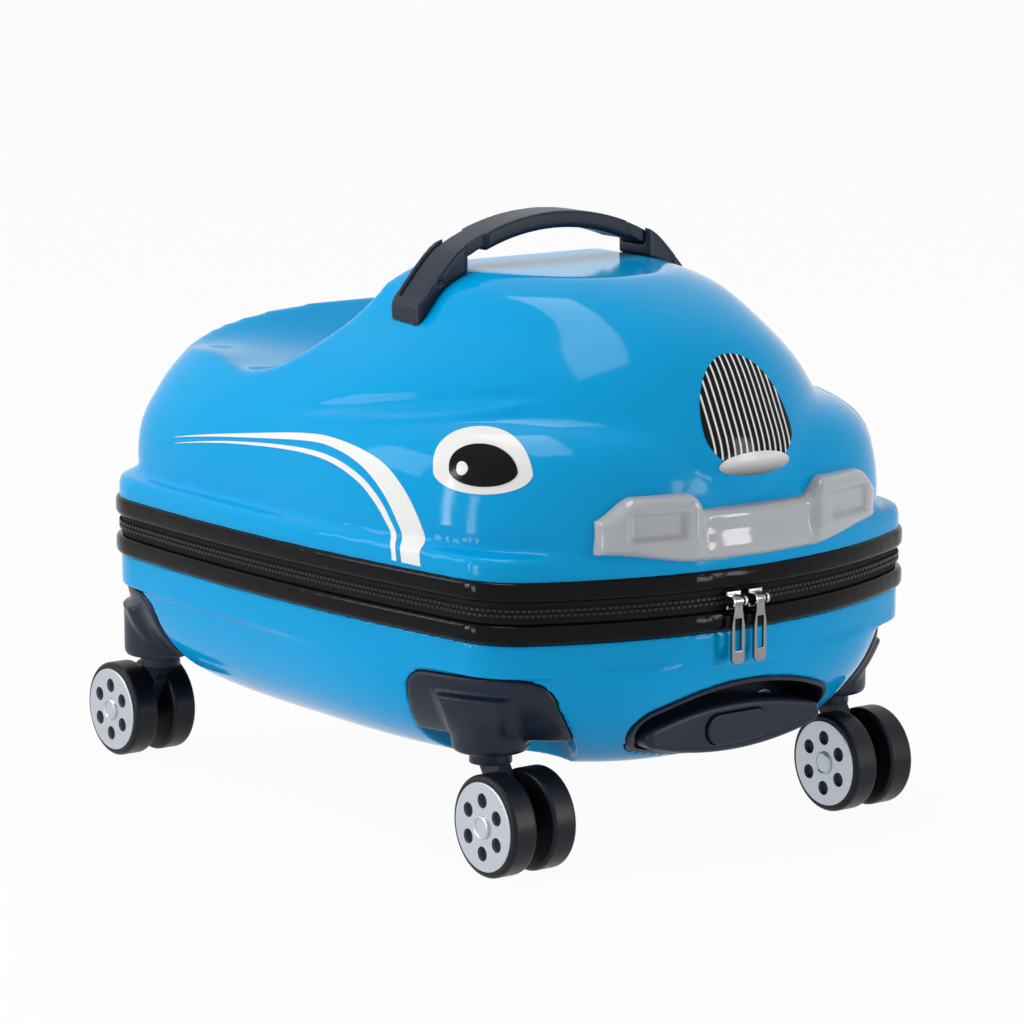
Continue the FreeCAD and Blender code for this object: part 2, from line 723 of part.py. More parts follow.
def make_carry_mounts():
    """Two feet on the roof, open above, that the handle's ends lie in between two cheeks, and their pins."""
    radius, centre_z = arch()
    inner = carry_width / 2 + free_clearance
    outer = inner + carry_cheek
    z = carry_pin_z()
    top = radius + carry_thickness / 2 + carry_pin_radius
    crown = lengthwise(0, centre_z, top, carry_x - outer, carry_x + outer)
    under_strap = radius - carry_thickness / 2 - free_clearance
    floor = lengthwise(0, centre_z, under_strap, carry_x - outer, carry_x + outer)
    strap_end = carry_end_y + free_clearance
    foot_end = strap_end + carry_foot_end
    foot = block(carry_x - outer, carry_x + outer, foot_end - carry_foot_length, foot_end, ledge_z, carry_top_z)
    foot = foot.makeFillet(carry_cheek, [e for e in foot.Edges if is_upright(e)])
    notch = block(carry_x - inner, carry_x + inner, 0, strap_end, ledge_z, carry_top_z)
    roof = lid_body(-seating_gap, rim_z)[1]
    foot = foot.common(crown).cut(notch.cut(floor)).cut(roof)
    bore = lengthwise(carry_pin_y, z, carry_pin_radius, carry_x - outer - 1, carry_x + outer + 1)
    foot = foot.cut(bore)
    pin = lengthwise(carry_pin_y, z, carry_pin_radius, carry_x - outer, carry_x + outer)
    return [foot, mirrored(foot)], [pin, mirrored(pin)]


def tube(radius, rear, front):
    """A pair of trolley tubes."""
    pair = []
    for y in (-tube_y, tube_y):
        bar = lengthwise(y, tube_z, radius, rear, front)
        pair.append(bar.cut(lengthwise(y, tube_z, radius - tube_wall, rear - 1, front + 1)))
    return pair


def tube_radii():
    """Outer, middle and inner tube radius, each running inside the last."""
    step = tube_wall + slide_clearance
    return outer_tube_radius, outer_tube_radius - step, outer_tube_radius - 2 * step


def make_dish():
    """Cup in the front of the tub that the trolley grip parks in."""
    skin = hull(base_levels(base_bottom_z - 1), -1)
    cup = dish_room(dish_wall).common(skin).cut(dish_room(0))
    for y in (-tube_y, tube_y):
        cup = cup.cut(lengthwise(y, tube_z, outer_tube_radius, dish_back_x - 1, dish_back_x + dish_wall))
    return cup


def button_outline(half_width, half_height, rear, front):
    """Oval bar along X."""
    run = half_width - half_height
    bar = block(rear, front, -run, run, tube_z - half_height, tube_z + half_height)
    ends = [lengthwise(y, tube_z, half_height, rear, front) for y in (-run, run)]
    return bar.fuse(ends).removeSplitter()


def make_grip():
    """Trolley grip: an eye-shaped bar with a pocket for the button and sockets for the inner tubes."""
    rear = grip_front_x - grip_depth
    grip = lens(grip_half_width, grip_half_height, grip_tip_radius, tube_z, rear, grip_front_x)
    rim = [e for e in grip.Edges if e.BoundBox.XLength < 1e-6 and e.BoundBox.XMin > rear + 1]
    grip = grip.makeFillet(grip_half_height / 4, rim)
    gap = slide_clearance
    pocket = button_outline(
        button_half_width + gap, button_half_height + gap, grip_front_x - button_pocket, grip_front_x + 1
    )
    grip = grip.cut(pocket)
    inner_radius = tube_radii()[2]
    for y in (-tube_y, tube_y):
        grip = grip.cut(lengthwise(y, tube_z, inner_radius, rear - 1, rear + grip_depth / 2))
    return grip.removeSplitter()


def make_button():
    """Oval release button, domed at its front edge."""
    front = grip_front_x + button_proud
    rear = front - button_travel - button_skirt
    button = button_outline(button_half_width, button_half_height, rear, front)
    rim = [e for e in button.Edges if e.BoundBox.XMin > front - 0.1]
    return button.makeFillet(button_proud / 2, rim)


def make_spring():
    """Return spring behind the button, as a thin sleeve."""
    rear = grip_front_x - button_pocket
    front = grip_front_x + button_proud - button_travel - button_skirt
    sleeve = lengthwise(0, tube_z, spring_radius, rear, front)
    return sleeve.cut(lengthwise(0, tube_z, spring_radius - spring_wire, rear - 1, front + 1))


def make_cover():
    """Channel over the trolley tubes, so that clothes don't catch on them."""
    floor = base_bottom_z + shell_wall
    channel = block(cover_rear_x, cover_front_x, -cover_half_width, cover_half_width, floor, cover_top_z)
    channel = channel.makeFillet(6, [e for e in channel.Edges if e.BoundBox.ZMin > cover_top_z - 0.1])
    side = cover_half_width - cover_thickness
    roof = cover_top_z - cover_thickness
    inside = block(cover_rear_x - 1, cover_front_x + 1, -side, side, floor - 1, roof)
    return channel.cut(inside)


def save(name, shapes):
    """Write one node."""
    solids = []
    for shape in shapes:
        solids += shape.Solids
    result = solids[0] if len(solids) == 1 else Part.makeCompound(solids)
    result.exportStep("parts/" + name + ".step")


os.makedirs("parts", exist_ok=True)

lid_solid, lid_shell = make_lid()
save("lid_shell", [lid_shell])
save("bumper", [make_bumper(lid_solid)])
save("upper_trim", [make_trim(upper_trim_z)])
save("lower_trim", [make_trim(lower_trim_z)])
chain_gap = zip_parting / 2
save("upper_zip_tape", [make_tape(zip_mid_z + chain_gap, upper_trim_z, zip_mid_z + chain_gap)])
save("lower_zip_tape", [make_tape(lower_trim_top_z, zip_mid_z - chain_gap, zip_mid_z - chain_gap - chain_height)])
for side, y in (("right", right_slider_y), ("left", left_slider_y)):
    save("zip_slider_" + side, [at_nose(make_slider(), y)])
    save("zip_pull_" + side, [at_nose(make_pull(), y)])
lower_leaves, upper_leaves, hinge_pins = make_hinges()
save("hinge_lower_leaves", lower_leaves)
save("hinge_upper_leaves", upper_leaves)
save("hinge_pins", hinge_pins)
carry_mounts, carry_pins = make_carry_mounts()
save("carry_mounts", carry_mounts)
save("carry_pins", carry_pins)
save("carry_handle", [make_carry_handle()])
save("base_shell", [make_base()])
for name, x, y, direction in posts():
    save("caster_housing_" + name, [make_housing(x, y)])
    save("caster_kingpin_" + name, [make_kingpin(x, y)])
    save("caster_fork_" + name, [make_fork(x, y, direction)])
    save("caster_axle_" + name, [make_axle(x, y, direction)])
    for place, side in (("outer", math.copysign(1, y)), ("inner", -math.copysign(1, y))):
        axle_x = x + direction * caster_trail
        save("wheel_" + name + "_" + place, [placed(make_wheel(), axle_x, y, side)])
        save("wheel_cap_" + name + "_" + place, [placed(make_cap(), axle_x, y, side)])
outer_radius, middle_radius, inner_radius = tube_radii()
dish_front = dish_back_x + dish_wall
save("trolley_dish", [make_dish()])
save("trolley_outer_tubes", tube(outer_radius, outer_tube_rear_x, dish_front))
save("trolley_middle_tubes", tube(middle_radius, outer_tube_rear_x + tube_step, dish_front + tube_step))
grip_socket = grip_front_x - grip_depth / 2
save("trolley_inner_tubes", tube(inner_radius, outer_tube_rear_x + 2 * tube_step, grip_socket))
save("trolley_grip", [make_grip()])
save("trolley_button", [make_button()])
save("button_spring", [make_spring()])
save("tube_cover", [make_cover()])
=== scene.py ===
import json
import math

import bmesh
import bpy
from mathutils import Matrix, Vector
from mathutils.bvhtree import BVHTree


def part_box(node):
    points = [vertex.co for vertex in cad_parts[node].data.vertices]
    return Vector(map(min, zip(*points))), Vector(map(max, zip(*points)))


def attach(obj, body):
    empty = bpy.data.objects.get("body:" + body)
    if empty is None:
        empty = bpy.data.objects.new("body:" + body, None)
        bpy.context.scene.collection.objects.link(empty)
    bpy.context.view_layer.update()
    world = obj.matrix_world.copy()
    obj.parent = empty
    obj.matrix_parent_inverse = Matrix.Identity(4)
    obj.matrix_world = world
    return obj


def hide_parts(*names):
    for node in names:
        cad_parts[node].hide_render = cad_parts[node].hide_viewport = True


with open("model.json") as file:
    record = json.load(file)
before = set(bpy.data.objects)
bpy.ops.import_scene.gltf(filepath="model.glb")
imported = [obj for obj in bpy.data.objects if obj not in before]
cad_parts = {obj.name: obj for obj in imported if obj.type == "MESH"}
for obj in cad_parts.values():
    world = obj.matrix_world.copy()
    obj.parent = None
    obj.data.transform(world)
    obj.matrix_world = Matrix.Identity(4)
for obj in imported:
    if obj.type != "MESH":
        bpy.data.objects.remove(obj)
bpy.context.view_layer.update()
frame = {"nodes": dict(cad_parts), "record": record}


# Tub
# The lower half of the case: a thin ABS shell, drawn down over a mould from one sheet with a gloss
# colour film on its face. Its corners are pocketed for the casters and its front for the trolley cup.
def new_group(name, inputs, outputs):
    """A shader node group with named sockets, and the nodes that stand at its two ends."""
    group = bpy.data.node_groups.new(name, "ShaderNodeTree")
    for label, kind in inputs:
        group.interface.new_socket(label, in_out="INPUT", socket_type="NodeSocket" + kind)
    for label, kind in outputs:
        group.interface.new_socket(label, in_out="OUTPUT", socket_type="NodeSocket" + kind)
    return group, group.nodes.new("NodeGroupInput"), group.nodes.new("NodeGroupOutput")


def moulded_surface():
    """Grain and handling: a fine height, and a colour and roughness that drift over the piece."""
    group, start, end = new_group(
        "moulded_surface",
        [
            ("Colour", "Color"), ("Drift", "Float"), ("Grain Size", "Float"),
            ("Dull", "Float"), ("Unevenness", "Float"),
        ],
        [("Colour", "Color"), ("Roughness", "Float"), ("Height", "Float")],
    )
    add = group.nodes.new
    link = group.links.new
    place = add("ShaderNodeTexCoord")
    grain = add("ShaderNodeTexNoise")
    grain.inputs["Detail"].default_value = 3.0
    per_metre = add("ShaderNodeMath")
    per_metre.operation = "DIVIDE"
    per_metre.inputs[0].default_value = 1.0
    link(start.outputs["Grain Size"], per_metre.inputs[1])
    link(place.outputs["Object"], grain.inputs["Vector"])
    link(per_metre.outputs[0], grain.inputs["Scale"])
    link(grain.outputs["Fac"], end.inputs["Height"])
    smudge = add("ShaderNodeTexNoise")
    smudge.inputs["Scale"].default_value = 22.0
    smudge.inputs["Detail"].default_value = 6.0
    link(place.outputs["Object"], smudge.inputs["Vector"])
    centred = add("ShaderNodeMath")
    centred.operation = "SUBTRACT"
    centred.inputs[1].default_value = 0.5
    link(smudge.outputs["Fac"], centred.inputs[0])
    dull = add("ShaderNodeMath")
    dull.operation = "MULTIPLY_ADD"
    link(centred.outputs[0], dull.inputs[0])
    link(start.outputs["Unevenness"], dull.inputs[1])
    link(start.outputs["Dull"], dull.inputs[2])
    link(dull.outputs[0], end.inputs["Roughness"])
    lightness = add("ShaderNodeMath")
    lightness.operation = "MULTIPLY_ADD"
    lightness.inputs[2].default_value = 1.0
    link(centred.outputs[0], lightness.inputs[0])
    link(start.outputs["Drift"], lightness.inputs[1])
    tint = add("ShaderNodeHueSaturation")
    link(lightness.outputs[0], tint.inputs["Value"])
    link(start.outputs["Colour"], tint.inputs["Color"])
    link(tint.outputs["Color"], end.inputs["Colour"])
    return group


surface_group = moulded_surface()
sharp_angle = math.radians(38)
merge_distance = 0.00001


def finish(name, colour, dull, grain_size, grain_depth, drift=0.1, unevenness=0.1, metallic=0.0, gloss=0.5):
    """A plastic, paint or metal, coloured, dulled and grained by the moulded surface group."""
    material = bpy.data.materials.new(name)
    material.use_nodes = True
    nodes = material.node_tree.nodes
    link = material.node_tree.links.new
    shader = nodes["Principled BSDF"]
    shader.inputs["Metallic"].default_value = metallic
    shader.inputs["Specular IOR Level"].default_value = gloss
    surface = nodes.new("ShaderNodeGroup")
    surface.node_tree = surface_group
    surface.inputs["Colour"].default_value = (*colour, 1.0)
    surface.inputs["Drift"].default_value = drift
    surface.inputs["Grain Size"].default_value = grain_size
    surface.inputs["Dull"].default_value = dull
    surface.inputs["Unevenness"].default_value = unevenness
    bump = nodes.new("ShaderNodeBump")
    bump.inputs["Strength"].default_value = 1.0
    bump.inputs["Distance"].default_value = grain_depth
    link(surface.outputs["Colour"], shader.inputs["Base Color"])
    link(surface.outputs["Roughness"], shader.inputs["Roughness"])
    link(surface.outputs["Height"], bump.inputs["Height"])
    link(bump.outputs["Normal"], shader.inputs["Normal"])
    return material


def merged(node):
    """A CAD node's triangles joined into one mesh, with its flat faces made whole again."""
    mesh = bmesh.new()
    mesh.from_mesh(frame["nodes"][node].data)
    bmesh.ops.remove_doubles(mesh, verts=mesh.verts, dist=merge_distance)
    bmesh.ops.dissolve_limit(mesh, angle_limit=math.radians(0.4), verts=mesh.verts, edges=mesh.edges)
    return mesh


def piece_from(mesh, name, material, body):
    """Finish a bmesh as a smooth-shaded object that rides on a body."""
    data = bpy.data.meshes.new(name)
    for face in mesh.faces:
        face.smooth = True
    for edge in mesh.edges:
        edge.smooth = len(edge.link_faces) == 2 and edge.calc_face_angle(0.0) < sharp_angle
    mesh.to_mesh(data)
    mesh.free()
    data.materials.append(material)
    piece = bpy.data.objects.new(name, data)
    bpy.context.scene.collection.objects.link(piece)
    even = piece.modifiers.new("even_shading", "WEIGHTED_NORMAL")
    even.keep_sharp = True
    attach(piece, body)
    return piece


def ease_edges(mesh, ease):
    """Round a mesh's sharp edges off, as a mould leaves them."""
    sharp = [e for e in mesh.edges if len(e.link_faces) == 2 and e.calc_face_angle(0.0) > sharp_angle]
    bmesh.ops.bevel(
        mesh, geom=sharp, offset=ease, segments=2, profile=0.5, affect="EDGES", material=-1,
        clamp_overlap=True,
    )


def dressed(node, ease, material):
    """Put a merged copy of a CAD node, with its sharp edges eased, in the node's place."""
    mesh = merged(node)
    if ease:
        ease_edges(mesh, ease)
    body = next(b for b, members in frame["record"]["behaviour"]["bodies"].items() if node in members)
    piece = piece_from(mesh, node + "_face", material, body)
    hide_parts(node)


def relaxed(mesh, cell, rounds, share):
    """A closed mesh in even cells, its edges run round as a drawn sheet's are, thinned to a share."""
    data = bpy.data.meshes.new("blank")
    mesh.to_mesh(data)
    mesh.free()
    blank = bpy.data.objects.new("blank", data)
    bpy.context.scene.collection.objects.link(blank)
    cells = blank.modifiers.new("cells", "REMESH")
    cells.mode = "VOXEL"
    cells.voxel_size = cell
    ease = blank.modifiers.new("ease", "SMOOTH")
    ease.factor = 0.5
    ease.iterations = rounds
    thin = blank.modifiers.new("thin", "DECIMATE")
    thin.ratio = share
    even = bmesh.new()
    even.from_object(blank, bpy.context.evaluated_depsgraph_get())
    bpy.data.objects.remove(blank)
    bpy.data.meshes.remove(data)
    return even


blue_film = finish(
    "blue_gloss_film", (0.0, 0.33, 0.68), dull=0.09, grain_size=0.004, grain_depth=0.00001,
    drift=0.04, unevenness=0.03, gloss=0.1,
)
tub = relaxed(merged("base_shell"), cell=0.0013, rounds=6, share=0.2)
tub_piece = piece_from(tub, "base_shell_face", blue_film, "base")
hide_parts("base_shell")


# Caster housings and forks
# Corner mouldings of navy-black nylon, spark-textured in the mould, screwed up into the tub's pockets.
# Each carries a fork on a steel kingpin.
navy_nylon = finish(
    "navy_nylon", (0.010, 0.016, 0.032), dull=0.36, grain_size=0.0009, grain_depth=0.00003,
    drift=0.25, unevenness=0.16, gloss=0.22,
)
bright_steel = finish(
    "bright_steel", (0.56, 0.57, 0.58), dull=0.28, grain_size=0.0006, grain_depth=0.000008,
    metallic=1.0,
)
corners = ("front_right", "front_left", "rear_right", "rear_left")
for corner in corners:
    housing = relaxed(merged("caster_housing_" + corner), cell=0.0011, rounds=22, share=0.5)
    face_name = "caster_housing_" + corner + "_face"
    housing_piece = piece_from(housing, face_name, navy_nylon, "base")
    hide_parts("caster_housing_" + corner)
    dressed("caster_fork_" + corner, 0.0005, navy_nylon)
    dressed("caster_kingpin_" + corner, 0.0003, bright_steel)
    dressed("caster_axle_" + corner, 0.0003, bright_steel)


# Wheels
# Twin wheels of dark polyurethane on a plastic core, each with a silver-painted cover snapped into its face.
tread = finish(
    "tyre_polyurethane", (0.006, 0.007, 0.011), dull=0.36, grain_size=0.0012, grain_depth=0.00002,
    drift=0.3, unevenness=0.15, gloss=0.2,
)
silver_paint = finish(
    "silver_paint", (0.52, 0.55, 0.60), dull=0.34, grain_size=0.0005, grain_depth=0.00001,
    drift=0.06, metallic=0.85,
)
cap_holes = 6
hole_circle = 0.014
hole_radius = 0.0031
hole_flare = 1.27
hub_radius = 0.0055
bead_radius = 0.0007
bead_sides = 8
bead_steps = 40
hole_catch = hole_radius * 1.1
cover_ease = 0.0006


def cap_with_hub(node, outward):
    """A wheel cover with its six holes opened to their flared size, and a rolled bead round its hub."""
    mesh = merged(node)
    low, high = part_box(node)
    middle = (Vector(low) + Vector(high)) / 2.0
    for hole in range(cap_holes):
        turn = 2.0 * math.pi * (hole + 0.5) / cap_holes
        bore = middle + Vector((math.cos(turn), 0.0, math.sin(turn))) * hole_circle
        for vert in mesh.verts:
            away = Vector((vert.co.x - bore.x, 0.0, vert.co.z - bore.z))
            if away.length < hole_catch:
                vert.co += away * (hole_flare - 1.0)
    ease_edges(mesh, cover_ease)
    face = high[1] if outward > 0.0 else low[1]
    ring = bmesh.ops.create_circle(
        mesh, segments=bead_sides, radius=bead_radius,
        matrix=Matrix.Translation((middle.x + hub_radius, face, middle.z)),
    )
    edges = list({edge for vert in ring["verts"] for edge in vert.link_edges})
    bmesh.ops.spin(
        mesh, geom=ring["verts"] + edges, cent=(middle.x, face, middle.z), axis=(0.0, 1.0, 0.0),
        angle=2.0 * math.pi, steps=bead_steps, use_merge=True,
    )
    return mesh


for corner in corners:
    for place in ("outer", "inner"):
        wheel = "wheel_" + corner + "_" + place
        cap = "wheel_cap_" + corner + "_" + place
        dressed(wheel, 0.0004, tread)
        outward = sum(end[1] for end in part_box(cap)) - sum(end[1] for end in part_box(wheel))
        cap_piece = piece_from(cap_with_hub(cap, outward), cap + "_face", silver_paint, wheel)
        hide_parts(cap)


# Trolley
# A cup in the tub's front, paired aluminium tubes that telescope in three stages under a cover, and a grip
# with its button.
dressed("trolley_dish", 0.0006, navy_nylon)
dressed("trolley_grip", 0.0008, navy_nylon)
dressed("trolley_button", 0.0004, navy_nylon)
dressed("button_spring", 0, bright_steel)
tube_alloy = finish(
    "tube_alloy", (0.60, 0.61, 0.63), dull=0.3, grain_size=0.0004, grain_depth=0.000005,
    metallic=1.0,
)
for stage in ("outer", "middle", "inner"):
    dressed("trolley_" + stage + "_tubes", 0, tube_alloy)
dressed("tube_cover", 0.0005, navy_nylon)


# Trim frames and zip
# Two gloss black extrusions bent round the case, with the zip's woven tapes sewn between them.
gloss_black = finish(
    "gloss_black_trim", (0.003, 0.003, 0.004), dull=0.09, grain_size=0.006, grain_depth=0.00002,
    unevenness=0.06, gloss=0.1,
)
for trim, body in (("lower_trim", "base"), ("upper_trim", "lid")):
    crowned = relaxed(merged(trim), cell=0.0011, rounds=10, share=0.9)
    trim_piece = piece_from(crowned, trim + "_face", gloss_black, body)
    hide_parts(trim)
tape_weave = finish(
    "tape_weave", (0.006, 0.006, 0.008), dull=0.75, grain_size=0.0008, grain_depth=0.0001,
    drift=0.4, gloss=0.15,
)
dressed("lower_zip_tape", 0, tape_weave)
dressed("upper_zip_tape", 0, tape_weave)
tooth_pitch = 0.0030
tooth_size = (0.0012, 0.0019, 0.0019)
tooth_sink = 0.0003
tooth_ease = 0.0003
tooth_offset = 0.0013
zip_rays = 7200
well_outside = 0.33
ray_length = 0.28
zip_middle = (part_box("lower_zip_tape")[1][2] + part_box("upper_zip_tape")[0][2]) / 2.0
tooth_black = finish(
    "tooth_black", (0.008, 0.008, 0.010), dull=0.28, grain_size=0.0008, grain_depth=0.00001,
    gloss=0.3,
)


def zip_line(node, height):
    """Places round a zip tape at one height, half a tooth's pitch apart, each with its way outwards."""
    tape = BVHTree.FromBMesh(merged(node))
    places = []
    for step in range(zip_rays):
        turn = 2.0 * math.pi * (step / zip_rays - 0.5)
        outward = Vector((math.cos(turn), math.sin(turn), 0.0))
        start = outward * well_outside + Vector((0.0, 0.0, height))
        point, normal, _, _ = tape.ray_cast(start, -outward, ray_length)
        if point is None:
            continue
        if not places or (point - places[-1][0]).length >= tooth_pitch / 2.0:
            places.append((point, Vector((normal.x, normal.y, 0.0)).normalized()))
    return places


for first, body, node, height in (
    (0, "base", "lower_zip_tape", zip_middle - tooth_offset),
    (1, "lid", "upper_zip_tape", zip_middle + tooth_offset),
):
    teeth = bmesh.new()
    for point, outward in zip_line(node, height)[first::2]:
        along = Vector((-outward.y, outward.x, 0.0))
        stand = Matrix((outward, along, Vector((0.0, 0.0, 1.0)))).transposed().to_4x4()
        size = Matrix.Diagonal((*tooth_size, 1.0))
        seat = Matrix.Translation(point - outward * tooth_sink)
        bmesh.ops.create_cube(teeth, size=1.0, matrix=seat @ stand @ size)
    bmesh.ops.bevel(
        teeth, geom=teeth.edges[:], offset=tooth_ease, segments=1, profile=0.5, affect="EDGES", material=-1,
        clamp_overlap=True,
    )
    piece_from(teeth, node.replace("tape", "teeth"), tooth_black, body)
nickel = finish(
    "nickel_plate", (0.42, 0.42, 0.42), dull=0.16, grain_size=0.0007, grain_depth=0.00001,
    metallic=1.0,
)
gunmetal = finish(
    "gunmetal_plate", (0.24, 0.24, 0.25), dull=0.16, grain_size=0.0007, grain_depth=0.00001,
    metallic=1.0,
)
for side in ("right", "left"):
    dressed("zip_slider_" + side, 0.0003, nickel)
    dressed("zip_pull_" + side, 0.0003, gunmetal)


# Rear hinges
# Two butt hinges of pressed steel across the zip's gap at the back.
dressed("hinge_lower_leaves", 0.0002, bright_steel)
dressed("hinge_upper_leaves", 0.0002, bright_steel)
dressed("hinge_pins", 0.0002, bright_steel)


# Lid
# The car body: the same film-faced sheet as the tub, drawn over a mould with the saddle, roof and
# fenders in it. Its rim is a rounded flange that stands on the upper trim.
def joined_to(start):
    """Every vertex that edges join to a first one."""
    found = {start}
    waiting = [start]
    while waiting:
        for edge in waiting.pop().link_edges:
            for vert in edge.verts:
                if vert not in found:
                    found.add(vert)
                    waiting.append(vert)
    return found


def eased(value, start, end):
    """A soft step from 0 at the start to 1 at the end."""
    t = min(max((value - start) / (end - start), 0.0), 1.0)
    return t * t * (3.0 - 2.0 * t)


lid_wall = 0.0025
hem_drop = 0.004
lid_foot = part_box("lid_shell")[0][2]
skin = merged("lid_shell")
standing = [f for f in skin.faces if all(abs(v.co.z - lid_foot) < merge_distance for v in f.verts)]
bmesh.ops.delete(skin, geom=standing, context="FACES")
outside = joined_to(max(skin.verts, key=lambda v: v.co.z))
bmesh.ops.delete(skin, geom=[v for v in skin.verts if v not in outside], context="VERTS")
hem = bmesh.ops.extrude_edge_only(skin, edges=[e for e in skin.edges if len(e.link_faces) == 1])
hem_verts = [v for v in hem["geom"] if isinstance(v, bmesh.types.BMVert)]
bmesh.ops.translate(skin, verts=hem_verts, vec=(0.0, 0.0, -hem_drop))
bmesh.ops.holes_fill(skin, edges=[e for e in skin.edges if len(e.link_faces) == 1], sides=0)
rim_line = BVHTree.FromBMesh(skin)
ledge_height = lid_foot + 0.012
ledge_slack = 0.0001
ledge_tuck = 0.0015
for vert in skin.verts:
    if vert.co.z < ledge_height + ledge_slack:
        vert.co.xy *= 1.0 - ledge_tuck / vert.co.xy.length
rim_round = 0.005
round_steps = 5
rim_steps = 480
rim_probe = lid_foot + 0.003
rim_reach = []
for step in range(rim_steps):
    turn = 2.0 * math.pi * step / rim_steps
    outward = Vector((math.cos(turn), math.sin(turn), 0.0))
    start = outward * well_outside + Vector((0.0, 0.0, rim_probe))
    point, _, _, _ = rim_line.ray_cast(start, -outward)
    rim_reach.append(point.xy.length)
flange = bmesh.new()
bmesh.ops.create_circle(flange, cap_ends=True, segments=rim_steps, radius=1.0)
loop = next(iter(flange.faces))
lifts = [(0.0, lid_foot - hem_drop)]
lifts += [
    (rim_round * (1.0 - math.cos(rise)), ledge_height - rim_round * (1.0 - math.sin(rise)))
    for rise in (math.radians(90.0 / round_steps * k) for k in range(round_steps + 1))
]
for stage, (inset, height) in enumerate(lifts):
    if stage:
        grown = bmesh.ops.extrude_face_region(flange, geom=[loop])
        loop = next(e for e in grown["geom"] if isinstance(e, bmesh.types.BMFace))
    for vert in loop.verts:
        step = round(math.atan2(vert.co.y, vert.co.x) / (2.0 * math.pi) * rim_steps) % rim_steps
        near = [rim_reach[(step + k) % rim_steps] for k in (-2, -1, 0, 1, 2)]
        turn = 2.0 * math.pi * step / rim_steps
        vert.co = Vector((math.cos(turn), math.sin(turn), 0.0)) * (sum(near) / len(near) - inset)
        vert.co.z = height
bmesh.ops.recalc_face_normals(flange, faces=flange.faces)
flange_data = bpy.data.meshes.new("flange")
flange.to_mesh(flange_data)
flange.free()
skin.from_mesh(flange_data)
bpy.data.meshes.remove(flange_data)
skin = relaxed(skin, cell=0.0025, rounds=4, share=1.0)
foot_trim = 0.0005
every = skin.verts[:] + skin.edges[:] + skin.faces[:]
bmesh.ops.bisect_plane(
    skin, geom=every, plane_co=(0.0, 0.0, lid_foot - foot_trim), plane_no=(0.0, 0.0, 1.0), clear_inner=True,
)
crown_start = ledge_height + 0.03
crown_rounds = 5
crown = [v for v in skin.verts if v.co.z > crown_start]
for _ in range(crown_rounds):
    bmesh.ops.smooth_vert(skin, verts=crown, factor=0.5, use_axis_x=True, use_axis_y=True, use_axis_z=True)

# A shallow crease down each fender, in millimetres: a raised edge over a fold, measured up the leaning side.
side_rise = 0.8
side_lean = 0.6
crease_width = 3.6
edge_height = 1.5
fold_depth = 1.2
crease_inner = 60.0
skin.normal_update()
for vert in skin.verts:
    x, y, z = vert.co * 1000.0
    slant = side_rise * z - side_lean * abs(y)
    edge = slant - (92.2 + 0.0922 * x + 0.00035 * x ** 2 + 0.0000095 * x ** 3)
    fold = slant - (96.8 + 0.245 * x + 0.00058 * x ** 2)
    relief = edge_height * math.exp(-((edge / crease_width) ** 2))
    relief -= fold_depth * math.exp(-((fold / crease_width) ** 2))
    if abs(y) > crease_inner:
        vert.co += vert.normal * 0.001 * relief * eased(x, -27.0, 25.0) * (1.0 - eased(x, 122.0, 146.0))
lid_skin = BVHTree.FromBMesh(skin)
lid_piece = piece_from(skin, "lid_shell_face", blue_film, "lid")
wall = lid_piece.modifiers.new("wall", "SOLIDIFY")
wall.thickness = lid_wall
wall.offset = -1.0
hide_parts("lid_shell")


# Prints on the lid
# Eye-shaped headlamps, a striped grille and a pair of stripes down each side, printed on the film before
# the sheet was drawn.
white_ink = finish(
    "white_ink", (0.80, 0.80, 0.79), dull=0.1, grain_size=0.004, grain_depth=0.00001,
    drift=0.03, unevenness=0.03, gloss=0.1,
)
black_ink = finish(
    "black_ink", (0.004, 0.004, 0.005), dull=0.1, grain_size=0.004, grain_depth=0.00001,
    drift=0.1, unevenness=0.03, gloss=0.1,
)
ink_thickness = 0.0003
print_clearance = 0.3


def laid(mesh, along, layer, name, inks):
    """Lay a flat print on the lid's skin along a direction, and give it an ink's thickness."""
    for vert in mesh.verts:
        point, normal, _, _ = lid_skin.ray_cast(vert.co - print_clearance * along, along)
        vert.co = point + normal * ink_thickness * layer
    bmesh.ops.recalc_face_normals(mesh, faces=mesh.faces)
    if sum((face.normal.dot(along) for face in mesh.faces), 0.0) > 0.0:
        bmesh.ops.reverse_faces(mesh, faces=mesh.faces)
    piece = piece_from(mesh, name, inks[0], "lid")
    for ink in inks[1:]:
        piece.data.materials.append(ink)
    film = piece.modifiers.new("film", "SOLIDIFY")
    film.thickness = ink_thickness
    film.offset = -1.0


def patch(segments):
    """A round patch of even quads, one unit in radius: a grid pulled out to a circle."""
    mesh = bmesh.new()
    bmesh.ops.create_grid(mesh, x_segments=segments, y_segments=segments, size=1.0)
    for vert in mesh.verts:
        across, up, _ = vert.co
        vert.co = (across * math.sqrt(1.0 - up * up / 2.0), up * math.sqrt(1.0 - across * across / 2.0), 0.0)
    return mesh


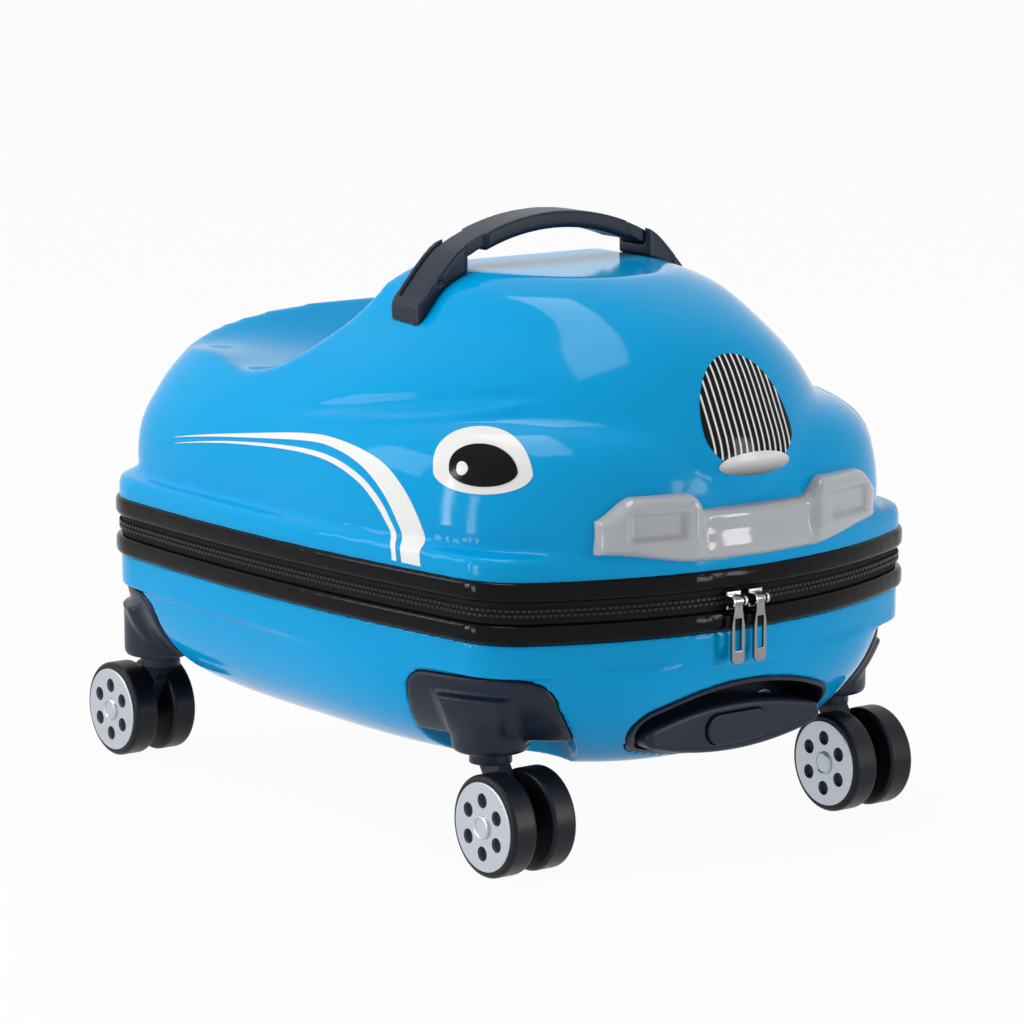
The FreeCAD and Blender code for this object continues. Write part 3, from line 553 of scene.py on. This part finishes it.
lamp_lean = 0.3
small_patch = 0.01
for hand, side in (("right", -1.0), ("left", 1.0)):
    facing = Vector((0.40, 0.78 * side, 0.48)).normalized()
    level = Vector((0.78, -0.40 * side, 0.0)).normalized()
    rising = facing.cross(level) * -side
    lamp_middle = Vector((0.1384, 0.126 * side, 0.2148))
    for layer, part, ink, shift, half_width, middle, over, under in (
        (1.0, "surround", white_ink, 0.0015, 0.0288, -0.0050, 0.0262, 0.0125),
        (2.0, "lens", black_ink, 0.0025, 0.0198, -0.0048, 0.0140, 0.0090),
        (3.0, "bulb", white_ink, -0.0090, 0.0034, -0.0050, 0.0036, 0.0036),
    ):
        oval = patch(24 if half_width > small_patch else 8)
        for vert in oval.verts:
            reach = vert.co.y * (over if vert.co.y > 0.0 else under)
            lean = -lamp_lean * max(reach, 0.0)
            sideways = shift + lean + vert.co.x * half_width
            vert.co = lamp_middle + level * sideways + rising * (middle + reach)
        laid(oval, -facing, layer, "headlamp_" + part + "_" + hand, [ink])


def through(points, share):
    """The place at a share of the way along a smooth line through a few points."""
    last = len(points) - 1
    step = min(int(share * last), last - 1)
    t = share * last - step
    before, start, end, after = (points[min(max(step + k, 0), last)] for k in (-1, 0, 1, 2))
    return tuple(
        0.5 * (2 * b + (c - a) * t + (2 * a - 5 * b + 4 * c - d) * t * t + (3 * b - a - 3 * c + d) * t ** 3)
        for a, b, c, d in zip(before, start, end, after)
    )


broad_stripe = (
    (
        (-114, 66.7), (-58, 74.6), (8, 83.6), (41, 84.4), (75, 80.0),
        (95, 71.4), (108, 60.6), (114.5, 50.5), (117, 42.0), (118, 38.0),
    ),
    (
        (-114, 66.5), (-58, 72.9), (10, 79.8), (38, 79.6), (63, 74.6),
        (82, 65.6), (94, 55.2), (100, 46.5), (103, 40.5), (104, 37.0),
    ),
)
fine_stripe = (
    (
        (-113, 63.8), (-57, 70.9), (-5, 75.4), (33, 75.6), (62, 70.3),
        (80, 62.2), (91, 52.8), (97, 44.5), (99.4, 40.0), (100, 36.8),
    ),
    (
        (-113, 63.6), (-57, 69.8), (-6, 73.4), (32, 73.0), (60, 67.6),
        (77, 59.8), (88, 51.0), (93.6, 43.5), (96, 39.8), (96.6, 36.6),
    ),
)
for hand, side in (("right", -1.0), ("left", 1.0)):
    downward = Vector((0.0, -side_rise * side, -side_lean))
    upward = Vector((0.0, -side_lean * side, side_rise))
    for name, (crest, trough) in (("broad_stripe_", broad_stripe), ("fine_stripe_", fine_stripe)):
        band = bmesh.new()
        bmesh.ops.create_grid(band, x_segments=150, y_segments=4, size=0.5)
        for vert in band.verts:
            along_band = vert.co.x + 0.5
            high = Vector(through(crest, along_band))
            low = Vector(through(trough, along_band))
            place = (low.lerp(high, vert.co.y + 0.5)) * 0.001
            vert.co = Vector((place.x, 0.0, 0.0)) + upward * place.y
        laid(band, downward, 1.0, name + hand, [white_ink])


grille_middle = 0.226
grille_half_width = 0.0286
grille_over = 0.0375
grille_under = 0.0190
nose_ahead = 0.2
bars = 15
bar_pitch = 0.057 / bars
white_share = 0.3
grille = patch(40)
for vert in grille.verts:
    reach = vert.co.y * (grille_over if vert.co.y > 0.0 else grille_under)
    vert.co = (nose_ahead, vert.co.x * grille_half_width, grille_middle + reach)
for bar in range(1, bars):
    for edge_side in (-0.5, 0.5):
        every = grille.verts[:] + grille.edges[:] + grille.faces[:]
        cut = (bar - bars / 2) * bar_pitch + edge_side * bar_pitch * white_share
        bmesh.ops.bisect_plane(grille, geom=every, plane_co=(0.0, cut, 0.0), plane_no=(0.0, 1.0, 0.0))
for face in grille.faces:
    across = face.calc_center_median().y / bar_pitch + bars / 2
    face.material_index = int(abs(across - round(across)) < white_share / 2.0 and 0 < round(across) < bars)
laid(grille, Vector((-1.0, 0.0, 0.0)), 1.0, "grille_print", [black_ink, white_ink])
lip_middle = 0.2090
lip_half_width = 0.0232
lip_over = 0.0068
lip_under = 0.0052
lip_dark_height = 0.2035
lip_light_height = 0.2125
lip = patch(24)
for vert in lip.verts:
    reach = vert.co.y * (lip_over if vert.co.y > 0.0 else lip_under)
    vert.co = (nose_ahead, vert.co.x * lip_half_width, lip_middle + reach)
lip_ink = finish(
    "lip_ink", (0.8, 0.8, 0.8), dull=0.1, grain_size=0.004, grain_depth=0.00001,
    drift=0.03, unevenness=0.03, gloss=0.1,
)
lip_nodes = lip_ink.node_tree.nodes
lip_place = lip_nodes.new("ShaderNodeTexCoord")
lip_axes = lip_nodes.new("ShaderNodeSeparateXYZ")
lip_rise = lip_nodes.new("ShaderNodeMapRange")
lip_rise.inputs["From Min"].default_value = lip_dark_height
lip_rise.inputs["From Max"].default_value = lip_light_height
lip_shade = lip_nodes.new("ShaderNodeValToRGB")
lip_shade.color_ramp.elements[0].color = (0.10, 0.10, 0.11, 1.0)
lip_shade.color_ramp.elements[1].color = (0.80, 0.80, 0.80, 1.0)
lip_links = lip_ink.node_tree.links
lip_links.new(lip_place.outputs["Object"], lip_axes.inputs["Vector"])
lip_links.new(lip_axes.outputs["Z"], lip_rise.inputs["Value"])
lip_links.new(lip_rise.outputs["Result"], lip_shade.inputs["Fac"])
lip_links.new(lip_shade.outputs["Color"], lip_nodes["Principled BSDF"].inputs["Base Color"])
laid(lip, Vector((-1.0, 0.0, 0.0)), 2.0, "grille_lip", [lip_ink])


# Bumper
# Grey bumper over the nose, moulded in soft relief: an apron along the ledge, a hollow bar between two
# guards, and a sunk panel in each guard. Its edges turn back into the lid. Sizes here are in millimetres.
bumper_grey = finish(
    "bumper_grey", (0.43, 0.445, 0.47), dull=0.07, grain_size=0.004, grain_depth=0.00001,
    drift=0.06, unevenness=0.04, gloss=0.4,
)
nose_radius = 261.06
nose_centre = 210.0 - nose_radius
bumper_span = 92.0
edge_round = 6.0
edge_fall = 7.0
edge_return = 6.0


def bumper_top(out):
    """The height of the bumper's upper edge at a distance out from the middle."""
    return 189.0 + 9.5 * eased(out, 31.0, 45.0) - 13.0 * eased(out, 74.0, 96.0)


def bumper_foot(out):
    """The height of the bumper's lower edge at a distance out from the middle."""
    return 161.5 + 7.5 * eased(out, 30.0, 92.0)


def bumper_relief(out, height):
    """How far the bumper's face stands out from the case's nose line, in millimetres."""
    guard = eased(out, 34.0, 42.0) * (1.0 - 0.5 * eased(out, 80.0, 93.0))
    apron = 1.0 - eased(height, 169.0, 174.0)
    hollow = 0.9 * eased(height, 172.0, 178.0) * (1.0 - eased(height, 180.0, 187.0)) * (1.0 - guard)
    panel = eased(out, 47.0, 51.0) * (1.0 - eased(out, 76.0, 82.0))
    panel *= eased(height, 175.0, 178.5) * (1.0 - eased(height, 188.0, 191.5))
    return 1.4 + 4.3 * guard * (1.0 - 0.45 * apron) + 0.5 * apron - hollow - 3.2 * panel


bumper_mesh = bmesh.new()
bmesh.ops.create_grid(bumper_mesh, x_segments=180, y_segments=44, size=0.5)
for vert in bumper_mesh.verts:
    across = vert.co.x * 2.0 * bumper_span
    out = abs(across)
    share = vert.co.y + 0.5
    height = bumper_foot(out) + share * (bumper_top(out) - bumper_foot(out))
    margin = min(height - bumper_foot(out), bumper_top(out) - height, bumper_span - out)
    turned = 1.0 - min(margin / edge_round, 1.0)
    fall = edge_fall * (1.0 - math.sqrt(1.0 - turned * turned))
    radius = nose_radius + bumper_relief(out, height) - fall
    vert.co = Vector((nose_centre + math.sqrt(radius * radius - across * across), across, height)) * 0.001
border = bmesh.ops.extrude_edge_only(bumper_mesh, edges=[e for e in bumper_mesh.edges if e.is_boundary])
border_verts = [v for v in border["geom"] if isinstance(v, bmesh.types.BMVert)]
bmesh.ops.translate(bumper_mesh, verts=border_verts, vec=(-edge_return * 0.001, 0.0, 0.0))
bmesh.ops.holes_fill(bumper_mesh, edges=[e for e in bumper_mesh.edges if e.is_boundary], sides=0)
bmesh.ops.recalc_face_normals(bumper_mesh, faces=bumper_mesh.faces)
bumper_piece = piece_from(bumper_mesh, "bumper_face", bumper_grey, "lid")
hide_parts("bumper")


# Carry handle
# A bowed strap of the same nylon with a fuller, stippled grip, slotted at each end over the pins of two
# forked feet that taper down to the roof.
end_drop = 0.0095
taper_start = 0.064
taper_end = 0.096
high_above = 0.4


def tapered(mesh):
    """Draw the ends of the handle down towards the roof, as the feet's wedges run."""
    for vert in mesh.verts:
        over = Vector((vert.co.x, vert.co.y, high_above))
        roof, _, _, _ = lid_skin.ray_cast(over, Vector((0.0, 0.0, -1.0)))
        if roof is None:
            continue
        above = eased(vert.co.z - roof.z, 0.001, 0.012)
        vert.co.z -= end_drop * above * eased(abs(vert.co.y), taper_start, taper_end)
    return mesh


stippled_nylon = finish(
    "stippled_nylon", (0.010, 0.016, 0.032), dull=0.4, grain_size=0.0011, grain_depth=0.0001,
    drift=0.25, unevenness=0.16, gloss=0.22,
)
strap = relaxed(tapered(merged("carry_handle")), cell=0.0009, rounds=8, share=0.5)
strap_piece = piece_from(strap, "carry_handle_face", stippled_nylon, "carry")
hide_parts("carry_handle")
feet = relaxed(tapered(merged("carry_mounts")), cell=0.0008, rounds=12, share=0.5)
feet_piece = piece_from(feet, "carry_mounts_face", navy_nylon, "lid")
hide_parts("carry_mounts")
black_steel = finish(
    "black_steel", (0.02, 0.022, 0.026), dull=0.35, grain_size=0.0006, grain_depth=0.000008,
    gloss=0.3,
)
pins = tapered(merged("carry_pins"))
pins_piece = piece_from(pins, "carry_pins_face", black_steel, "lid")
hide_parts("carry_pins")


# Floor, light and camera
# A white studio floor with soft boxes overhead and at both sides, seen from the photograph's place.
def seen_white(tree):
    """A value that is 1 for what the camera sees, in a mirror or through glass too."""
    seen = tree.nodes.new("ShaderNodeLightPath")
    value = seen.outputs["Is Camera Ray"]
    for ray in ("Is Glossy Ray", "Is Transmission Ray"):
        either = tree.nodes.new("ShaderNodeMath")
        either.operation = "MAXIMUM"
        tree.links.new(value, either.inputs[0])
        tree.links.new(seen.outputs[ray], either.inputs[1])
        value = either.outputs[0]
    return value


floor_mesh = bmesh.new()
bmesh.ops.create_grid(floor_mesh, x_segments=1, y_segments=1, size=60.0)
floor_data = bpy.data.meshes.new("studio_floor")
floor_mesh.to_mesh(floor_data)
floor_mesh.free()
floor = bpy.data.objects.new("studio_floor", floor_data)
bpy.context.scene.collection.objects.link(floor)
white_floor = bpy.data.materials.new("white_floor")
white_floor.use_nodes = True
floor_data.materials.append(white_floor)
floor_tree = white_floor.node_tree
paint = floor_tree.nodes["Principled BSDF"]
paint.inputs["Base Color"].default_value = (0.86, 0.86, 0.86, 1.0)
paint.inputs["Roughness"].default_value = 0.9
glow = floor_tree.nodes.new("ShaderNodeEmission")
most = floor_tree.nodes.new("ShaderNodeMath")
most.operation = "MULTIPLY"
most.inputs[1].default_value = 0.95
floor_tree.links.new(seen_white(floor_tree), most.inputs[0])
either = floor_tree.nodes.new("ShaderNodeMixShader")
floor_tree.links.new(most.outputs[0], either.inputs["Fac"])
floor_tree.links.new(paint.outputs["BSDF"], either.inputs[1])
floor_tree.links.new(glow.outputs["Emission"], either.inputs[2])
floor_tree.links.new(either.outputs["Shader"], floor_tree.nodes["Material Output"].inputs["Surface"])

world = bpy.data.worlds.new("studio")
bpy.context.scene.world = world
world.use_nodes = True
sky = world.node_tree.nodes["Background"]
sky.inputs["Color"].default_value = (1.0, 1.0, 1.0, 1.0)
strength = world.node_tree.nodes.new("ShaderNodeMapRange")
strength.inputs["To Min"].default_value = 0.33
strength.inputs["To Max"].default_value = 1.0
world.node_tree.links.new(seen_white(world.node_tree), strength.inputs["Value"])
world.node_tree.links.new(strength.outputs["Result"], sky.inputs["Strength"])


def soft_box(name, place, target, width, height, watts):
    """A rectangular studio lamp aimed at a point on the object."""
    lamp = bpy.data.lights.new(name, "AREA")
    lamp.shape = "RECTANGLE"
    lamp.size = width
    lamp.size_y = height
    lamp.energy = watts
    stand = bpy.data.objects.new(name, lamp)
    stand.location = place
    stand.visible_camera = False
    stand.rotation_euler = (Vector(target) - Vector(place)).to_track_quat("-Z", "Y").to_euler()
    bpy.context.scene.collection.objects.link(stand)


soft_box("overhead_box", (-0.15, -0.25, 1.45), (0.0, 0.0, 0.15), 1.1, 0.40, 9.5)
soft_box("side_strip", (-0.34, -1.5, 0.45), (0.0, 0.0, 0.15), 0.07, 1.0, 5.5)
soft_box("side_box", (-1.0, -1.45, 0.9), (0.0, 0.0, 0.15), 0.6, 0.7, 6.8)
soft_box("low_strip", (0.05, -0.85, 0.16), (0.1, 0.0, 0.15), 0.05, 0.3, 0.6)
soft_box("front_strip", (1.47, 0.79, 0.46), (0.0, 0.0, 0.15), 0.22, 0.9, 6.5)
soft_box("nose_strip", (0.95, 0.30, 0.14), (0.2, 0.0, 0.15), 0.06, 0.25, 0.5)

lens = bpy.data.cameras.new("photo_camera")
lens.sensor_width = 36.0
lens.lens = 146.52
camera = bpy.data.objects.new("photo_camera", lens)
camera_right = Vector((0.5987, 0.8010, 0.0))
camera_up = Vector((-0.1438, 0.1075, 0.9838))
camera_back = Vector((0.7880, -0.5890, 0.1795))
camera_place = (1.8225, -1.3645, 0.5693)
camera_turn = Matrix((camera_right, camera_up, camera_back)).transposed().to_4x4()
camera.matrix_world = Matrix.Translation(camera_place) @ camera_turn
bpy.context.scene.collection.objects.link(camera)
bpy.context.scene.camera = camera
bpy.context.scene.view_settings.view_transform = "Standard"
